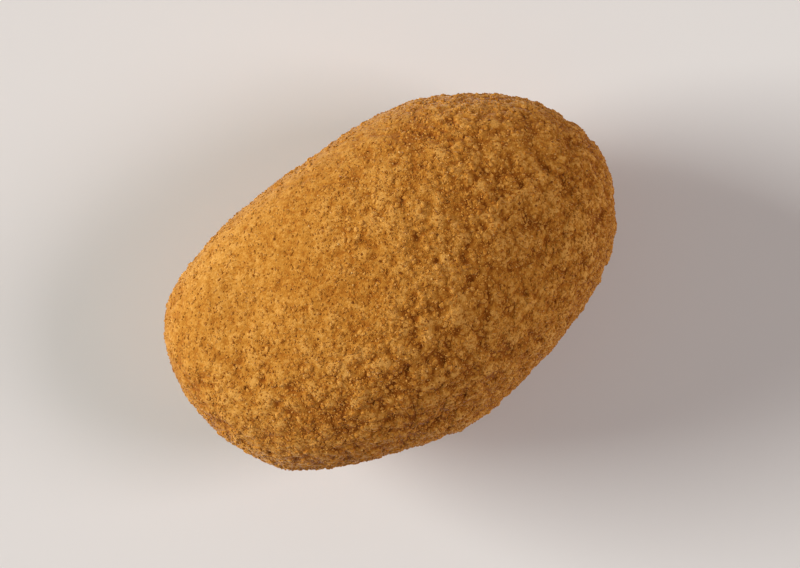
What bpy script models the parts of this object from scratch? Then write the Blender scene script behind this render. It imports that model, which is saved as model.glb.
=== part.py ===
"""One almond in a thick chocolate coat, rolled in ground cinnamon.

It lies on its flatter side. X runs along the nut, Z is up, and the origin is
under the middle of its bounding box. The whole sweet is one closed body: an
oval of named size, pushed out and in by broad swellings and hollows, by the
small lumps of the coat, and by the pebbled crust that the cinnamon forms.
"""

import itertools
import math

import bmesh
import bpy
import numpy as np

MM = 0.001

# Overall size, and how round the oval is.
LENGTH = 28.0 * MM
WIDTH = 18.3 * MM
THICKNESS = 15.4 * MM
FULLNESS = 2.15  # 2 gives an ellipsoid, more gives fuller ends and shoulders
TAPER = 0.035  # share by which the +X end is broader, and the -X end narrower
FLAT_DEPTH = 0.2 * MM  # what the flat resting spot takes off the round underside

# Broad swellings, and hollows where the height is under 0. Each has its place,
# as degrees round from +X to +Y and degrees up, then its height and its spread.
SWELLINGS = (
    (86, -4, 0.68 * MM, 3.2 * MM),  # belly of the +Y flank
    (128, 2, -0.20 * MM, 3.4 * MM),  # straight run behind the belly
    (-77, 0, -0.42 * MM, 4.0 * MM),  # nearly straight -Y flank
    (-85, 0, -0.30 * MM, 2.2 * MM),  # shallow waist in that flank
    (-113, 0, 0.22 * MM, 3.2 * MM),  # fuller stretch of that flank towards the -X end
    (-34, 4, 0.60 * MM, 3.6 * MM),  # shoulder where that flank meets the +X end
    (8, 0, -0.14 * MM, 2.6 * MM),  # blunter tip of the +X end
    (168, 10, -0.17 * MM, 3.6 * MM),  # blunter tip of the -X end
    (157, 0, -0.30 * MM, 2.2 * MM),  # narrower beside that tip, towards +Y
    (-162, 0, -0.28 * MM, 2.6 * MM),  # narrower beside that tip, towards -Y
    (89, 63, 0.55 * MM, 4.2 * MM),  # crest of the crown
    (191, 44, -0.32 * MM, 4.6 * MM),  # long slope from the crest to the -X end
    (143, 46, -0.39 * MM, 4.0 * MM),  # flatter slope from the crest to the +Y flank
    (-40, 47, -0.62 * MM, 3.6 * MM),  # flatter side between the crest and the shoulder
    (140, -48, 0.24 * MM, 3.8 * MM),  # fuller underside towards the -X end
    (-110, -40, -0.18 * MM, 4.0 * MM),  # hollow low on the -Y flank
)

# Small lumps that the coat keeps from being built up in layers.
LUMP_COUNT = 70
LUMP_HEIGHT = 0.09 * MM
LUMP_SPREAD = (1.3 * MM, 3.0 * MM)
LUMP_SEED = 41

# Pebbled crust: grains this far apart and this high, in places nearly smooth.
PEBBLE_PITCH = 1.2 * MM
PEBBLE_HEIGHT = 0.27 * MM
PEBBLE_UNEVEN = 0.35  # how much taller one grain is than another, in squared pitches
PEBBLE_BEND = 0.5  # how far a grain is pushed out of round, in pitches
PEBBLE_SEED, UNEVEN_SEED, BEND_SEED = 3.0, 3.5, 23.0
PATCH_PITCH = 6.5 * MM  # distance over which the crust goes from rough to smooth
PATCH_TILT = (-0.25, 0.62)  # gets rougher towards -X and +Y by this over half the width
PATCH_LEAST = 0.25  # share of its height that the crust keeps where it is smooth
PATCH_SEED = 11.0

# Mixing numbers of the repeatable noise, and the side of one cell of the mesh.
NOISE_MIX = np.array([[127.1, 269.5, 419.2], [311.7, 183.3, 371.9], [74.7, 246.1, 238.5]])
NOISE_STRETCH = 43758.5453
CELL = 0.52 * MM

CINNAMON_COLOUR = (0.39, 0.15, 0.024, 1.0)
CINNAMON_ROUGHNESS = 0.95

HALF = np.array([LENGTH, WIDTH, THICKNESS]) / 2


def oval(directions):
    """Carries unit directions out to the oval, where the FULLNESS powers of
    x, y and z, each as a share of its half size, add up to 1."""
    reach = (np.abs(directions) ** FULLNESS).sum(axis=1) ** (-1 / FULLNESS)
    points = directions * reach[:, None] * HALF
    points[:, 1:] *= 1 + TAPER * points[:, :1] / HALF[0]
    return points


def outward(directions):
    """Unit normals of the oval, from the slope of the same sum of powers."""
    slope = np.sign(directions) * np.abs(directions) ** (FULLNESS - 1) / HALF
    return slope / np.linalg.norm(slope, axis=1)[:, None]


def towards(azimuth, elevation):
    """The unit direction at these angles, in radians."""
    level = np.cos(elevation)
    return np.stack(
        [level * np.cos(azimuth), level * np.sin(azimuth), np.sin(elevation)], axis=-1
    )


def bell(points, centre, spread):
    """1 at the centre, falling off smoothly as exp of minus distance squared."""
    away = ((points - centre) ** 2).sum(axis=1)
    return np.exp(-away / spread**2)


def swelling_height(points):
    """The named swellings and hollows, added up."""
    height = np.zeros(len(points))
    for azimuth, elevation, rise, spread in SWELLINGS:
        centre = oval(towards(np.radians([azimuth]), np.radians([elevation])))
        height += rise * bell(points, centre, spread)
    return height


def lump_height(points):
    """Small lumps and dimples at random places, spread evenly over the oval."""
    draw = np.random.default_rng(LUMP_SEED)
    azimuth = draw.uniform(0, 2 * math.pi, LUMP_COUNT)
    elevation = np.arcsin(draw.uniform(-1, 1, LUMP_COUNT))
    rise = draw.normal(0, LUMP_HEIGHT, LUMP_COUNT)
    spread = draw.uniform(*LUMP_SPREAD, LUMP_COUNT)
    centres = oval(towards(azimuth, elevation))
    lumps = zip(centres, rise, spread)
    return sum(height * bell(points, centre, width) for centre, height, width in lumps)


def scattered(cells, seed):
    """Three numbers from 0 to 1 for each cell of a lattice, the same each time."""
    wave = np.sin(cells @ NOISE_MIX + seed) * NOISE_STRETCH
    return wave - np.floor(wave)


def smooth_noise(points, pitch, seed):
    """Three values from 0 to 1 a point: the lattice's corners, blended smoothly."""
    at = points / pitch
    cells = np.floor(at)
    share = (at - cells) ** 2 * (3 - 2 * (at - cells))
    value = np.zeros((len(points), 3))
    for step in itertools.product((0, 1), repeat=3):
        weight = np.abs(1 - np.array(step) - share).prod(axis=1)
        value += weight[:, None] * scattered(cells + step, seed)
    return value


def bent(points):
    """Points pushed about by smooth noise, so that no grain is a perfect dome."""
    push = smooth_noise(points, PEBBLE_PITCH, BEND_SEED) - 0.5
    return points + PEBBLE_BEND * PEBBLE_PITCH * push


def pebble_tops(points):
    """One grain lies at a random place in each cube of the lattice, some taller than
    others. A point takes the most, over the 27 cubes around it, of: the grain's own
    height less its distance squared."""
    at = points / PEBBLE_PITCH
    cells = np.floor(at)
    highest = np.full(len(points), -np.inf)
    for step in itertools.product((-1, 0, 1), repeat=3):
        place = cells + step + scattered(cells + step, PEBBLE_SEED)
        own = PEBBLE_UNEVEN * scattered(cells + step, UNEVEN_SEED)[:, 0]
        highest = np.maximum(highest, own - ((at - place) ** 2).sum(axis=1))
    return highest - highest.mean()


def rough_share(points):
    """Smooth noise, tilted so that the +Y flank and the -X end come out rough."""
    side = points[:, :2] @ np.array(PATCH_TILT) / HALF[1]
    noise = smooth_noise(points, PATCH_PITCH, PATCH_SEED)[:, 0]
    return PATCH_LEAST + (1 - PATCH_LEAST) * np.clip(side + noise, 0, 1)


def pebble_height(points):
    """The tops of bent grains, lower where the crust is smooth."""
    return PEBBLE_HEIGHT * pebble_tops(bent(points)) * rough_share(points)


def crusted_almond(directions):
    """Points of the whole form, fitted to the named size and set on its flat spot."""
    points = oval(directions)
    height = swelling_height(points) + lump_height(points) + pebble_height(points)
    points = points + outward(directions) * height[:, None]
    low, high = points.min(axis=0), points.max(axis=0)
    size = 2 * HALF + (0, 0, FLAT_DEPTH)
    points = (points - (low + high) / 2) * size / (high - low)
    points[:, 2] += THICKNESS / 2 - FLAT_DEPTH / 2
    points[:, 2] = np.maximum(points[:, 2], 0)
    return points


def gridded_cube():
    """A cube from -1 to 1, cut so that the cells come out even on the almond."""
    mesh = bmesh.new()
    bmesh.ops.create_cube(mesh, size=2)
    for axis in range(3):
        along = [
            edge
            for edge in mesh.edges
            if abs(edge.verts[0].co[axis] - edge.verts[1].co[axis]) > 0.5
        ]
        quarter = math.pi / 2 * HALF[axis]
        cuts = round(quarter / CELL) - 1
        bmesh.ops.subdivide_edges(mesh, edges=along, cuts=cuts, use_grid_fill=True)
    return mesh


def almond_mesh():
    grid = gridded_cube()
    mesh = bpy.data.meshes.new("cinnamon_almond")
    grid.to_mesh(mesh)
    grid.free()
    corners = np.empty(len(mesh.vertices) * 3)
    mesh.vertices.foreach_get("co", corners)
    # The tangent spreads the grid lines by equal angles.
    directions = np.tan(corners.reshape(-1, 3) * math.pi / 4)
    directions /= np.linalg.norm(directions, axis=1)[:, None]
    mesh.vertices.foreach_set("co", crusted_almond(directions).ravel())
    mesh.shade_smooth()
    mesh.update()
    return mesh


def cinnamon_material():
    material = bpy.data.materials.new("ground cinnamon")
    material.use_nodes = True
    shader = material.node_tree.nodes["Principled BSDF"]
    shader.inputs["Base Color"].default_value = CINNAMON_COLOUR
    shader.inputs["Roughness"].default_value = CINNAMON_ROUGHNESS
    shader.inputs["Metallic"].default_value = 0
    return material


def main():
    for old in list(bpy.data.objects):
        bpy.data.objects.remove(old, do_unlink=True)
    collection = bpy.data.collections.new("cinnamon almond")
    bpy.context.scene.collection.children.link(collection)
    almond = bpy.data.objects.new("cinnamon_almond", almond_mesh())
    almond.data.materials.append(cinnamon_material())
    collection.objects.link(almond)


main()
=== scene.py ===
import itertools
import math

import bpy
import numpy as np
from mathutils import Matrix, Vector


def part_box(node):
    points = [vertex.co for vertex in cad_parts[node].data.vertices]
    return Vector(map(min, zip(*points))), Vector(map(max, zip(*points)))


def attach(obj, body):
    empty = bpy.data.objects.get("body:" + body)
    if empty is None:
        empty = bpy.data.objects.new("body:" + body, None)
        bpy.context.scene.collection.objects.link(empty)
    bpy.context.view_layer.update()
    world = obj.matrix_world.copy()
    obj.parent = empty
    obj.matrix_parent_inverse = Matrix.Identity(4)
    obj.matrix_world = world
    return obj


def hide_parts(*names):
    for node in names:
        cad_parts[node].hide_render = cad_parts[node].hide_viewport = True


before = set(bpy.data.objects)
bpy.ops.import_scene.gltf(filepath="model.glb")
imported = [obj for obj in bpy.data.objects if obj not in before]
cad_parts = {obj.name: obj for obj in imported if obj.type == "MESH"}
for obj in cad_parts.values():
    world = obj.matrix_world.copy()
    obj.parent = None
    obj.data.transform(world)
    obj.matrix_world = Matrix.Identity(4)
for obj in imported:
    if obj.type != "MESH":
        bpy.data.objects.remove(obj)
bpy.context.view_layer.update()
mm = 0.001
nutNode = "cinnamon_almond"
nutLow, nutHigh = (np.array(corner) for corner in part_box(nutNode))
nutSize = nutHigh - nutLow
print("frame loaded, the almond is", np.round(nutSize / mm, 2), "mm")


# The plain oval. Every height below is added to it along its outward normal.
oval = {
    "fullness": 2.15,            # 2 is an ellipsoid, more is fuller at the ends
    "taper": 0.035,              # the +X end is broader by this share, the -X end narrower
    "flatDepth": 0.2 * mm,       # taken off the round underside by the resting spot
    "half": nutSize / 2,
}


def ovalPoints(directions):
    # A unit direction runs out to where the sum of |x/a|, |y/b| and |z/c|, each to the
    # power of the fullness, is 1; then y and z grow with x by the taper.
    reach = (np.abs(directions) ** oval["fullness"]).sum(axis=1) ** (-1 / oval["fullness"])
    points = directions * reach[:, None] * oval["half"]
    points[:, 1:] *= 1 + oval["taper"] * points[:, :1] / oval["half"][0]
    return points


def ovalNormals(directions):
    # The slope of the same sum of powers, made one long.
    power = oval["fullness"] - 1
    slope = np.sign(directions) * np.abs(directions) ** power / oval["half"]
    return slope / np.linalg.norm(slope, axis=1)[:, None]


def towards(azimuth, elevation):
    # The unit direction at these angles, in radians round from +X and up.
    level = np.cos(elevation)
    return np.stack([level * np.cos(azimuth), level * np.sin(azimuth), np.sin(elevation)], -1)


def bell(points, centre, spread):
    # exp(-(distance / spread) squared), 1 at the centre
    return np.exp(-((points - centre) ** 2).sum(axis=1) / spread**2)


# The coat: broad swellings and hollows, as degrees round from +X, degrees up, height, spread.
coat = {
    "swellings": (
        (86, -4, 0.68 * mm, 3.2 * mm),      # belly of the +Y flank
        (128, 2, -0.20 * mm, 3.4 * mm),     # straight run behind the belly
        (-77, 0, -0.42 * mm, 4.0 * mm),     # nearly straight -Y flank
        (-85, 0, -0.30 * mm, 2.2 * mm),     # shallow waist in that flank
        (-113, 0, 0.22 * mm, 3.2 * mm),     # fuller stretch of that flank towards the -X end
        (-34, 4, 0.60 * mm, 3.6 * mm),      # shoulder where that flank meets the +X end
        (8, 0, -0.14 * mm, 2.6 * mm),       # blunter tip of the +X end
        (168, 10, -0.17 * mm, 3.6 * mm),    # blunter tip of the -X end
        (157, 0, -0.30 * mm, 2.2 * mm),     # narrower beside that tip, towards +Y
        (-162, 0, -0.28 * mm, 2.6 * mm),    # narrower beside that tip, towards -Y
        (89, 63, 0.55 * mm, 4.2 * mm),      # crest of the crown
        (191, 44, -0.32 * mm, 4.6 * mm),    # long slope from the crest to the -X end
        (143, 46, -0.39 * mm, 4.0 * mm),    # flatter slope from the crest to the +Y flank
        (-40, 47, -0.62 * mm, 3.6 * mm),    # flatter side between the crest and the shoulder
        (140, -48, 0.24 * mm, 3.8 * mm),    # fuller underside towards the -X end
        (-110, -40, -0.18 * mm, 4.0 * mm),  # hollow low on the -Y flank
    ),
    "lumpCount": 70,
    "lumpHeight": 0.09 * mm,
    "lumpSpread": (1.3 * mm, 3.0 * mm),
    "lumpSeed": 41,
}


def coatHeight(points):
    # the sum of the named bells, and of small bells at random places
    height = np.zeros(len(points))
    for azimuth, elevation, rise, spread in coat["swellings"]:
        centre = ovalPoints(towards(np.radians([azimuth]), np.radians([elevation])))
        height += rise * bell(points, centre, spread)
    draw = np.random.default_rng(coat["lumpSeed"])
    azimuth = draw.uniform(0, 2 * math.pi, coat["lumpCount"])
    elevation = np.arcsin(draw.uniform(-1, 1, coat["lumpCount"]))
    rises = draw.normal(0, coat["lumpHeight"], coat["lumpCount"])
    spreads = draw.uniform(*coat["lumpSpread"], coat["lumpCount"])
    for centre, rise, spread in zip(ovalPoints(towards(azimuth, elevation)), rises, spreads):
        height += rise * bell(points, centre, spread)
    return height


# The cinnamon crust: grains of three sizes that stand shoulder to shoulder, and pits. The
# seeds are for the grains' places, their own heights and how they are bent out of round.
crust = {
    "pebbles": {"pitch": 1.20 * mm, "height": 0.27 * mm, "uneven": 0.35, "bend": 0.5,
                "seeds": (3.0, 3.5, 23.0)},
    "crumbs": {"pitch": 0.62 * mm, "height": 0.12 * mm, "uneven": 0.40, "bend": 0.5,
               "seeds": (5.0, 5.5, 25.0)},
    "grit": {"pitch": 0.34 * mm, "height": 0.08 * mm, "uneven": 0.40, "bend": 0.4,
             "seeds": (8.0, 8.5, 28.0)},
    "pits": {"pitch": 1.50 * mm, "radius": 0.36 * mm, "depth": 0.16 * mm, "seed": 17.0},
    "rough": {"leastShare": 0.25, "pitch": 6.5 * mm, "seed": 11.0, "tilt": (-0.25, 0.62)},
    "leastFine": 0.35,           # share of the crumbs, grit and pits where the crust is smooth
    "pebbleShadeWeight": 0.4,           # what a pebble's height counts for the painted light on tops and shade in pits, beside a crumb's
}

# Mixing numbers of the repeatable noise.
noiseMix = np.array([[127.1, 269.5, 419.2], [311.7, 183.3, 371.9], [74.7, 246.1, 238.5]])
noiseStretch = 43758.5453


def scattered(cells, seed):
    # three numbers from 0 to 1 a cell, the same each time: the fraction of a large sine
    wave = np.sin(cells @ noiseMix + seed) * noiseStretch
    return wave - np.floor(wave)


def smoothNoise(points, pitch, seed):
    # three values a point: those of the lattice's corners, blended by 3t^2 - 2t^3
    at = points / pitch
    cells = np.floor(at)
    share = (at - cells) ** 2 * (3 - 2 * (at - cells))
    value = np.zeros((len(points), 3))
    for step in itertools.product((0, 1), repeat=3):
        weight = np.abs(1 - np.array(step) - share).prod(axis=1)
        value += weight[:, None] * scattered(cells + step, seed)
    return value


def grainTops(points, pitch, seed, uneven=0.0, unevenSeed=0.0):
    # One grain lies at a random place in each cube, some taller than others. A point takes
    # the most, over the cubes round it, of: the grain's own height less its distance squared.
    at = points / pitch
    cells = np.floor(at)
    highest = np.full(len(points), -np.inf)
    for step in itertools.product((-1, 0, 1), repeat=3):
        place = cells + step + scattered(cells + step, seed)
        own = uneven * scattered(cells + step, unevenSeed)[:, 0]
        highest = np.maximum(highest, own - ((at - place) ** 2).sum(axis=1))
    return highest


def grainHeight(points, kind):
    # the tops above and below their mean, at points pushed about by smooth noise, so that no
    # grain comes out as a perfect dome
    placeSeed, unevenSeed, bendSeed = kind["seeds"]
    push = smoothNoise(points, kind["pitch"], bendSeed) - 0.5
    points = points + kind["bend"] * kind["pitch"] * push
    tops = grainTops(points, kind["pitch"], placeSeed, kind["uneven"], unevenSeed)
    return kind["height"] * (tops - tops.mean())


def pitHeight(points):
    # minus the depth times (1 - (distance / radius) squared) squared, inside the radius
    pits = crust["pits"]
    tops = grainTops(points, pits["pitch"], pits["seed"])
    nearness = 1 + tops * (pits["pitch"] / pits["radius"]) ** 2
    return -pits["depth"] * np.clip(nearness, 0, 1) ** 2


def roughShare(points):
    # smooth noise, tilted so that the +Y flank and the -X end come out rough
    rough = crust["rough"]
    side = points[:, :2] @ np.array(rough["tilt"]) / oval["half"][1]
    noise = smoothNoise(points, rough["pitch"], rough["seed"])[:, 0]
    return rough["leastShare"] + (1 - rough["leastShare"]) * np.clip(side + noise, 0, 1)


def gridQuads(rows, columns):
    # Quads of a grid whose corners are numbered row by row, as corners, rows and columns.
    first = (np.arange(rows)[:, None] * (columns + 1) + np.arange(columns)).ravel()
    return np.stack([first, first + columns + 1, first + columns + 2, first + 1], axis=1)


def boxGrid(cuts):
    # The six sides of a box from -1 to 1, cut into cells. Corners on an edge of the box are
    # one corner, so that the surface is closed. Returns corners, and quads that face out.
    places, quads, count = [], [], 0
    for axis in range(3):
        u, v = (axis + 1) % 3, (axis + 2) % 3
        for side in (0, 1):
            i, j = np.meshgrid(np.arange(cuts[u] + 1), np.arange(cuts[v] + 1), indexing="ij")
            place = np.zeros((i.size, 3), int)
            place[:, axis] = side * cuts[axis]
            place[:, u], place[:, v] = i.ravel(), j.ravel()
            faces = count + gridQuads(cuts[u], cuts[v])
            quads.append(faces if side else faces[:, ::-1])
            places.append(place)
            count += len(place)
    places, index = np.unique(np.concatenate(places), axis=0, return_inverse=True)
    return places * 2 / np.array(cuts) - 1, index.reshape(-1)[np.concatenate(quads)]


def meshPiece(name, points, faces, smooth=True):
    mesh = bpy.data.meshes.new(name)
    mesh.vertices.add(len(points))
    mesh.vertices.foreach_set("co", np.asarray(points, np.float32).ravel())
    sides = faces.shape[1]
    mesh.loops.add(faces.size)
    mesh.loops.foreach_set("vertex_index", faces.astype(np.int32).ravel())
    mesh.polygons.add(len(faces))
    mesh.polygons.foreach_set("loop_start", np.arange(len(faces), dtype=np.int32) * sides)
    mesh.update(calc_edges=True)
    if smooth:
        mesh.shade_smooth()
    else:
        mesh.shade_flat()
    piece = bpy.data.objects.new(name, mesh)
    bpy.context.scene.collection.objects.link(piece)
    return piece


def pointValue(piece, name, values):
    layer = piece.data.attributes.new(name, "FLOAT", "POINT")
    layer.data.foreach_set("value", np.asarray(values, np.float32))


skin = {"cell": 0.124 * mm}      # side of one cell of the crust's mesh


def crustForm():
    # Grid lines run at equal angles, by the tangent of the cube's corner places. Coat and
    # pebbles are fitted to the solid's box, then finer relief stands on them and the flat spot
    # is cut. Returns corners, quads, relief in spreads from its mean, and the rough share.
    cuts = [round(math.pi / 2 * half / skin["cell"]) for half in oval["half"]]
    corners, quads = boxGrid(cuts)
    directions = np.tan(corners * math.pi / 4)
    directions /= np.linalg.norm(directions, axis=1)[:, None]
    base, normals = ovalPoints(directions), ovalNormals(directions)
    rough = roughShare(base)
    pebbles = grainHeight(base, crust["pebbles"]) * rough
    form = base + normals * (coatHeight(base) + pebbles)[:, None]
    low, high = form.min(axis=0), form.max(axis=0)
    fullSize = nutSize + (0, 0, oval["flatDepth"])
    form = (form - (low + high) / 2) * fullSize / (high - low)
    form[:, 2] += nutSize[2] / 2 - oval["flatDepth"] / 2
    fine = grainHeight(base, crust["crumbs"]) + grainHeight(base, crust["grit"]) + pitHeight(base)
    fine *= crust["leastFine"] + (1 - crust["leastFine"]) * rough
    form += normals * fine[:, None]
    form[:, 2] = np.maximum(form[:, 2], 0)
    form[:, :2] += (nutLow + nutHigh)[:2] / 2
    # Relief for colour: raised places are painted lighter and low places darker, as painted light
    # and shade, more so where the crust is rough.
    relief = (crust["pebbleShadeWeight"] * pebbles + fine) * rough
    print("crust:", len(quads) * 2, "triangles, relief spread", round(relief.std() / mm, 4), "mm")
    return form, quads, (relief - relief.mean()) / relief.std(), rough


crustPoints, crustQuads, crustRelief, crustRough = crustForm()
crustSkin = meshPiece("cinnamonCrust", crustPoints, crustQuads)
# The relief, which paints tops lighter and pits darker, as painted light and shade.
pointValue(crustSkin, "relief", crustRelief)
# The rough share, which also paints the rough side darker and redder, as painted shade.
pointValue(crustSkin, "rough", crustRough)


def closedShape(corners):
    # Corners of a regular solid, pushed out to one from its middle. Any three that lie an edge
    # apart make a face, turned to look outwards.
    roundingSlack = 1.01
    gaps = np.linalg.norm(corners[:, None] - corners, axis=2)
    edge = gaps[gaps > 0].min() * roundingSlack
    faces = []
    for trio in itertools.combinations(range(len(corners)), 3):
        a, b, c = corners[list(trio)]
        if gaps[np.ix_(trio, trio)].max() < edge:
            outwards = np.cross(b - a, c - a) @ (a + b + c) > 0
            faces.append(trio if outwards else trio[::-1])
    return corners / np.linalg.norm(corners, axis=1)[:, None], np.array(faces)


# A lump has 20 faces, on the corners of three golden cards that cross. A chip has 8.
goldenRatio = (1 + 5**0.5) / 2
goldenCard = np.array([(0, a, b * goldenRatio) for a in (-1, 1) for b in (-1, 1)])
grainShapes = {
    "lump": closedShape(np.concatenate([np.roll(goldenCard, k, axis=1) for k in range(3)])),
    "chip": closedShape(np.concatenate([np.eye(3), -np.eye(3)])),
}

# Grains that stick to the crust, one mesh for each kind. A size is a grain's half width; flat is
# its thickness as a share of that, and sunk is the share of its thickness that lies in the crust.
grainKinds = {
    "crustLumps": {"shape": "lump", "count": 7000, "size": (0.08 * mm, 0.19 * mm),
                   "flat": 0.75, "sunk": 0.60, "seed": 105},
    "cinnamonDust": {"shape": "chip", "count": 24000, "size": (0.030 * mm, 0.055 * mm),
                     "flat": 0.75, "sunk": 0.25, "seed": 101},
    "cinnamonGrains": {"shape": "chip", "count": 14000, "size": (0.050 * mm, 0.090 * mm),
                       "flat": 0.70, "sunk": 0.35, "seed": 102},
    "barkFlecks": {"shape": "chip", "count": 1800, "size": (0.040 * mm, 0.100 * mm),
                   "flat": 0.40, "sunk": 0.30, "seed": 103},
    "paleSpecks": {"shape": "chip", "count": 700, "size": (0.040 * mm, 0.075 * mm),
                   "flat": 0.80, "sunk": 0.40, "seed": 104},
}
grainForm = {
    "clearHeight": 0.3 * mm,     # none stands lower than this, by the flat spot
    "push": (0.75, 1.25),        # how far each corner lies from the middle, in half widths
    "stretch": (1.15, 0.90),     # half length and half width
    "relief": (-0.4, 1.2),       # how high each counts for its colour, in spreads of the crust: painted light and shade by height, most painted lighter as raised tops
}


def grainPiece(name, kind):
    # Spots spread over the crust by its area times its rough share. On each stands a closed shape
    # with corners pushed about, turned at random and flattened along the surface's normal.
    draw = np.random.default_rng(kind["seed"])
    count = kind["count"]
    a, b, d = (crustPoints[crustQuads[:, k]] for k in (0, 1, 3))
    across = np.cross(b - a, d - a)
    area = np.linalg.norm(across, axis=1)
    weight = area * (a[:, 2] > grainForm["clearHeight"]) * crustRough[crustQuads[:, 0]]
    chosen = draw.choice(len(crustQuads), count, p=weight / weight.sum())
    s, t = draw.random((2, count, 1))
    spot = a[chosen] + s * (b - a)[chosen] + t * (d - a)[chosen]
    up = across[chosen] / area[chosen, None]
    side = np.cross(up, draw.normal(size=(count, 3)))
    side /= np.linalg.norm(side, axis=1)[:, None]
    axes = np.stack([side, np.cross(up, side), up], axis=1)
    size = draw.uniform(*kind["size"], (count, 1, 1))
    ball, sides = grainShapes[kind["shape"]]
    shape = ball * draw.uniform(*grainForm["push"], (count, len(ball), 1))
    shape = shape * size * (*grainForm["stretch"], kind["flat"])
    lift = size[:, 0] * kind["flat"] * (1 - 2 * kind["sunk"])
    points = shape @ axes + (spot + up * lift)[:, None]
    faces = (np.arange(count) * len(ball))[:, None, None] + sides
    piece = meshPiece(name, points.reshape(-1, 3), faces.reshape(-1, 3), smooth=False)
    pointValue(piece, "tone", np.repeat(draw.random(count), len(ball)))
    rough = crustRough[crustQuads[chosen, 0]]
    # Each grain's relief paints most of them lighter, as painted light on raised tops, and some
    # darker, as painted shade; only the crust's lumps read it.
    relief = draw.uniform(*grainForm["relief"], count) * rough
    pointValue(piece, "relief", np.repeat(relief, len(ball)))
    pointValue(piece, "rough", np.repeat(rough, len(ball)))
    print(name + ":", len(piece.data.polygons), "triangles")
    return piece


grains = {name: grainPiece(name, kind) for name, kind in grainKinds.items()}


# Finishes. Colours are linear. The crust's tone is its start plus each pattern times its share.
finish = {
    "bark": (0.170, 0.054, 0.008, 1),
    "deep": (0.220, 0.061, 0.003, 1),    # painted shade in the pits, and the bark flecks
    "brown": (0.350, 0.118, 0.009, 1),
    "ochre": (0.485, 0.205, 0.025, 1),   # most of the dust
    "golden": (0.630, 0.313, 0.066, 1),  # palest dust, and painted light on the crust's tops
    "cream": (0.700, 0.430, 0.150, 1),
    # The relief share paints tops lighter and pits darker, as painted light and shade; the rough
    # share paints the rough side darker and redder, as painted shade.
    "toneStart": 0.105, "reliefShadeShare": 0.155, "roughShare": -0.14,
    "grainShare": 0.24, "mottleShare": 0.40, "patchShare": 0.30,
    "crustTones": ((0.10, "deep"), (0.34, "brown"), (0.53, "ochre"), (0.74, "golden")),
    "grainPitch": 0.12 * mm, "gritPitch": 0.05 * mm, "gritDetail": 2.0,
    "mottlePitch": 0.6 * mm, "mottleDetail": 3.0, "patchPitch": 5.0 * mm, "patchDetail": 1.0,
    "patchPlace": (-1 * mm, -29 * mm, 26 * mm),  # patches then fall much as on the real one
    "bumpStrength": 0.7, "bumpDepth": 0.03 * mm, "gritShare": 1.0, "domeShare": -1.2,
    "roughness": 0.92, "specular": 0.14,
    "sheen": 0.50, "sheenRoughness": 0.30, "sheenTint": (1.0, 0.78, 0.62, 1),
}


def addNode(tree, kind, inputs=None, **settings):
    made = tree.nodes.new(kind)
    for name, value in settings.items():
        setattr(made, name, value)
    for name, value in (inputs or {}).items():
        made.inputs[name].default_value = value
    return made


def addedUp(tree, start, *terms):
    # start plus, for each term, its socket times its share
    total = None
    for socket, share in terms:
        step = addNode(tree, "ShaderNodeMath", {1: share, 2: start}, operation="MULTIPLY_ADD")
        tree.links.new(socket, step.inputs[0])
        if total:
            tree.links.new(total, step.inputs[2])
        total = step.outputs[0]
    return total


def newFinish(name):
    material = bpy.data.materials.new(name)
    material.use_nodes = True
    shader = material.node_tree.nodes["Principled BSDF"]
    shader.inputs["Roughness"].default_value = finish["roughness"]
    shader.inputs["Specular IOR Level"].default_value = finish["specular"]
    shader.inputs["Sheen Weight"].default_value = finish["sheen"]
    shader.inputs["Sheen Roughness"].default_value = finish["sheenRoughness"]
    shader.inputs["Sheen Tint"].default_value = finish["sheenTint"]
    return material, material.node_tree, shader


def coloured(tree, shader, value, stops):
    # the value picks a colour between the stops, which are places from 0 to 1 and colours
    node = addNode(tree, "ShaderNodeValToRGB")
    while len(node.color_ramp.elements) < len(stops):
        node.color_ramp.elements.new(0.5)    # it gets its place below
    for element, (place, colour) in zip(node.color_ramp.elements, stops):
        element.position, element.color = place, finish[colour]
    tree.links.new(value, node.inputs["Fac"])
    tree.links.new(node.outputs["Color"], shader.inputs["Base Color"])


def noiseNode(tree, place, name):
    scale, detail = 1 / finish[name + "Pitch"], finish[name + "Detail"]
    node = addNode(tree, "ShaderNodeTexNoise", {"Scale": scale, "Detail": detail})
    tree.links.new(place, node.inputs["Vector"])
    return node


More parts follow.
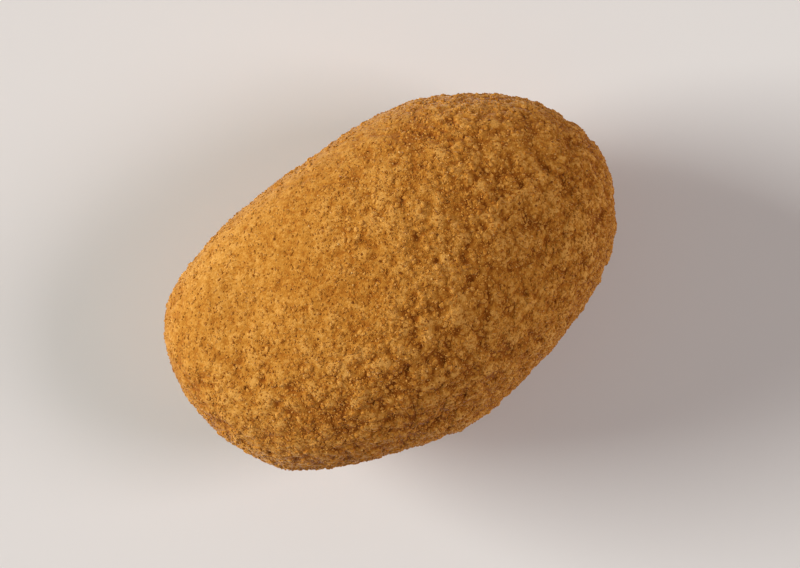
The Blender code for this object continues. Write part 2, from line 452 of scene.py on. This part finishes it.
def crustFinish():
    # Each grain of dust has its own tone, and tones drift over small mottles and wide patches.
    # Tops are painted paler and pits darker, as painted light and shade, and the rough side,
    # which lies away from the key lamp, is painted darker, as painted shade. The bump is a dome
    # for each grain, with grit.
    material, tree, shader = newFinish("groundCinnamon")
    place = addNode(tree, "ShaderNodeTexCoord").outputs["Object"]
    relief = addNode(tree, "ShaderNodeAttribute", attribute_name="relief")
    rough = addNode(tree, "ShaderNodeAttribute", attribute_name="rough")
    grain = addNode(tree, "ShaderNodeTexVoronoi", {"Scale": 1 / finish["grainPitch"]})
    tree.links.new(place, grain.inputs["Vector"])
    patchPlace = addNode(tree, "ShaderNodeMapping", {"Location": finish["patchPlace"]})
    tree.links.new(place, patchPlace.inputs["Vector"])
    grit = noiseNode(tree, place, "grit")
    mottle = noiseNode(tree, place, "mottle")
    patch = noiseNode(tree, patchPlace.outputs["Vector"], "patch")
    own = addNode(tree, "ShaderNodeSeparateColor")
    tree.links.new(grain.outputs["Color"], own.inputs["Color"])
    tone = addedUp(
        tree, finish["toneStart"],
        # tops painted lighter and pits darker: painted light and shade
        (relief.outputs["Fac"], finish["reliefShadeShare"]),
        # the rough side painted darker and redder: painted shade
        (rough.outputs["Fac"], finish["roughShare"]),
        (own.outputs["Red"], finish["grainShare"]),
        (mottle.outputs["Fac"], finish["mottleShare"]),
        (patch.outputs["Fac"], finish["patchShare"]),
    )
    coloured(tree, shader, tone, finish["crustTones"])
    height = addedUp(
        tree, 0.0,
        (grit.outputs["Fac"], finish["gritShare"]),
        (grain.outputs["Distance"], finish["domeShare"]),
    )
    bump = addNode(tree, "ShaderNodeBump", {"Strength": finish["bumpStrength"],
                                            "Distance": finish["bumpDepth"]})
    tree.links.new(height, bump.inputs["Height"])
    tree.links.new(bump.outputs["Normal"], shader.inputs["Normal"])
    return material


def grainFinish(name, stops):
    material, tree, shader = newFinish(name)
    tone = addNode(tree, "ShaderNodeAttribute", attribute_name="tone")
    coloured(tree, shader, tone.outputs["Fac"], stops)
    return material


groundCinnamon = crustFinish()
grainTones = {
    "cinnamonDust": ((0.0, "brown"), (0.5, "ochre"), (1.0, "golden")),
    "cinnamonGrains": ((0.0, "brown"), (0.5, "ochre"), (1.0, "golden")),
    "barkFlecks": ((0.0, "bark"), (0.5, "deep"), (1.0, "brown")),
    "paleSpecks": ((0.0, "golden"), (1.0, "cream")),
}
crustSkin.data.materials.append(groundCinnamon)
grains["crustLumps"].data.materials.append(groundCinnamon)
for name, stops in grainTones.items():
    grains[name].data.materials.append(grainFinish(name + "Finish", stops))
print("finishes made")

for piece in (crustSkin, *grains.values()):
    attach(piece, "root")
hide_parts(nutNode)


# A pale floor that curves up far out, so that low views meet no edge.
floor = {
    "flatRadius": 0.60, "outerRadius": 0.95, "wallHeight": 0.20, "cuts": 80,
    "colour": (0.74, 0.74, 0.73, 1), "roughness": 0.9, "specular": 0.1,
}


def floorPiece():
    # x and y on an even square grid; z is the wall's height times the square of the share of
    # the way from the flat radius to the outer one
    line = np.linspace(-1, 1, floor["cuts"] + 1) * floor["outerRadius"]
    x, y = np.meshgrid(line, line, indexing="ij")
    run = floor["outerRadius"] - floor["flatRadius"]
    share = np.clip((np.hypot(x, y) - floor["flatRadius"]) / run, 0, 1)
    points = np.stack([x, y, floor["wallHeight"] * share**2], -1).reshape(-1, 3)
    return meshPiece("paleFloor", points, gridQuads(floor["cuts"], floor["cuts"]))


def floorFinish():
    material = bpy.data.materials.new("floorPaint")
    material.use_nodes = True
    shader = material.node_tree.nodes["Principled BSDF"]
    shader.inputs["Base Color"].default_value = floor["colour"]
    shader.inputs["Roughness"].default_value = floor["roughness"]
    shader.inputs["Specular IOR Level"].default_value = floor["specular"]
    return material


paleFloor = floorPiece()
paleFloor.data.materials.append(floorFinish())


# Studio: degrees round from +X and up, distance and side of the lamp in metres, power in watts.
lamps = {
    "keyLamp": {"azimuth": 320, "elevation": 20, "distance": 2.0, "side": 1.00, "power": 70,
                "colour": (1.0, 0.985, 0.95)},
    "fillLamp": {"azimuth": 148, "elevation": 42, "distance": 2.0, "side": 0.85, "power": 18.5,
                 "colour": (1.0, 0.86, 0.85)},
}
room = {"colour": (1.0, 0.95, 0.90, 1), "strength": 0.16}


def lampPiece(name, lamp):
    light = bpy.data.lights.new(name, "AREA")
    light.size, light.energy, light.color = lamp["side"], lamp["power"], lamp["colour"]
    piece = bpy.data.objects.new(name, light)
    azimuth, elevation = math.radians(lamp["azimuth"]), math.radians(lamp["elevation"])
    piece.location = towards(azimuth, elevation) * lamp["distance"] + (0, 0, nutSize[2] / 2)
    piece.rotation_euler = (math.pi / 2 - elevation, 0, azimuth + math.pi / 2)
    bpy.context.scene.collection.objects.link(piece)


for name, lamp in lamps.items():
    lampPiece(name, lamp)

world = bpy.data.worlds.new("studioWorld")
world.use_nodes = True
world.node_tree.nodes["Background"].inputs["Color"].default_value = room["colour"]
world.node_tree.nodes["Background"].inputs["Strength"].default_value = room["strength"]
bpy.context.scene.world = world
bpy.context.scene.view_settings.view_transform = "Standard"

# The camera looks straight down, rolled so that the nut lies across the picture as in the
# photograph: roll is in degrees, height in metres over the nut's middle.
camera = {"height": 0.45, "roll": 148.2, "frameWidth": 46.7 * mm, "clip": (0.01, 10)}
lens = bpy.data.cameras.new("camera")
lens.lens = lens.sensor_width * camera["height"] / camera["frameWidth"]
lens.clip_start, lens.clip_end = camera["clip"]
viewer = bpy.data.objects.new("camera", lens)
viewer.location = (0, 0, nutSize[2] / 2 + camera["height"])
viewer.rotation_euler = (0, 0, math.radians(camera["roll"]))
bpy.context.scene.collection.objects.link(viewer)
bpy.context.scene.camera = viewer
print("stage, lamps and camera set")
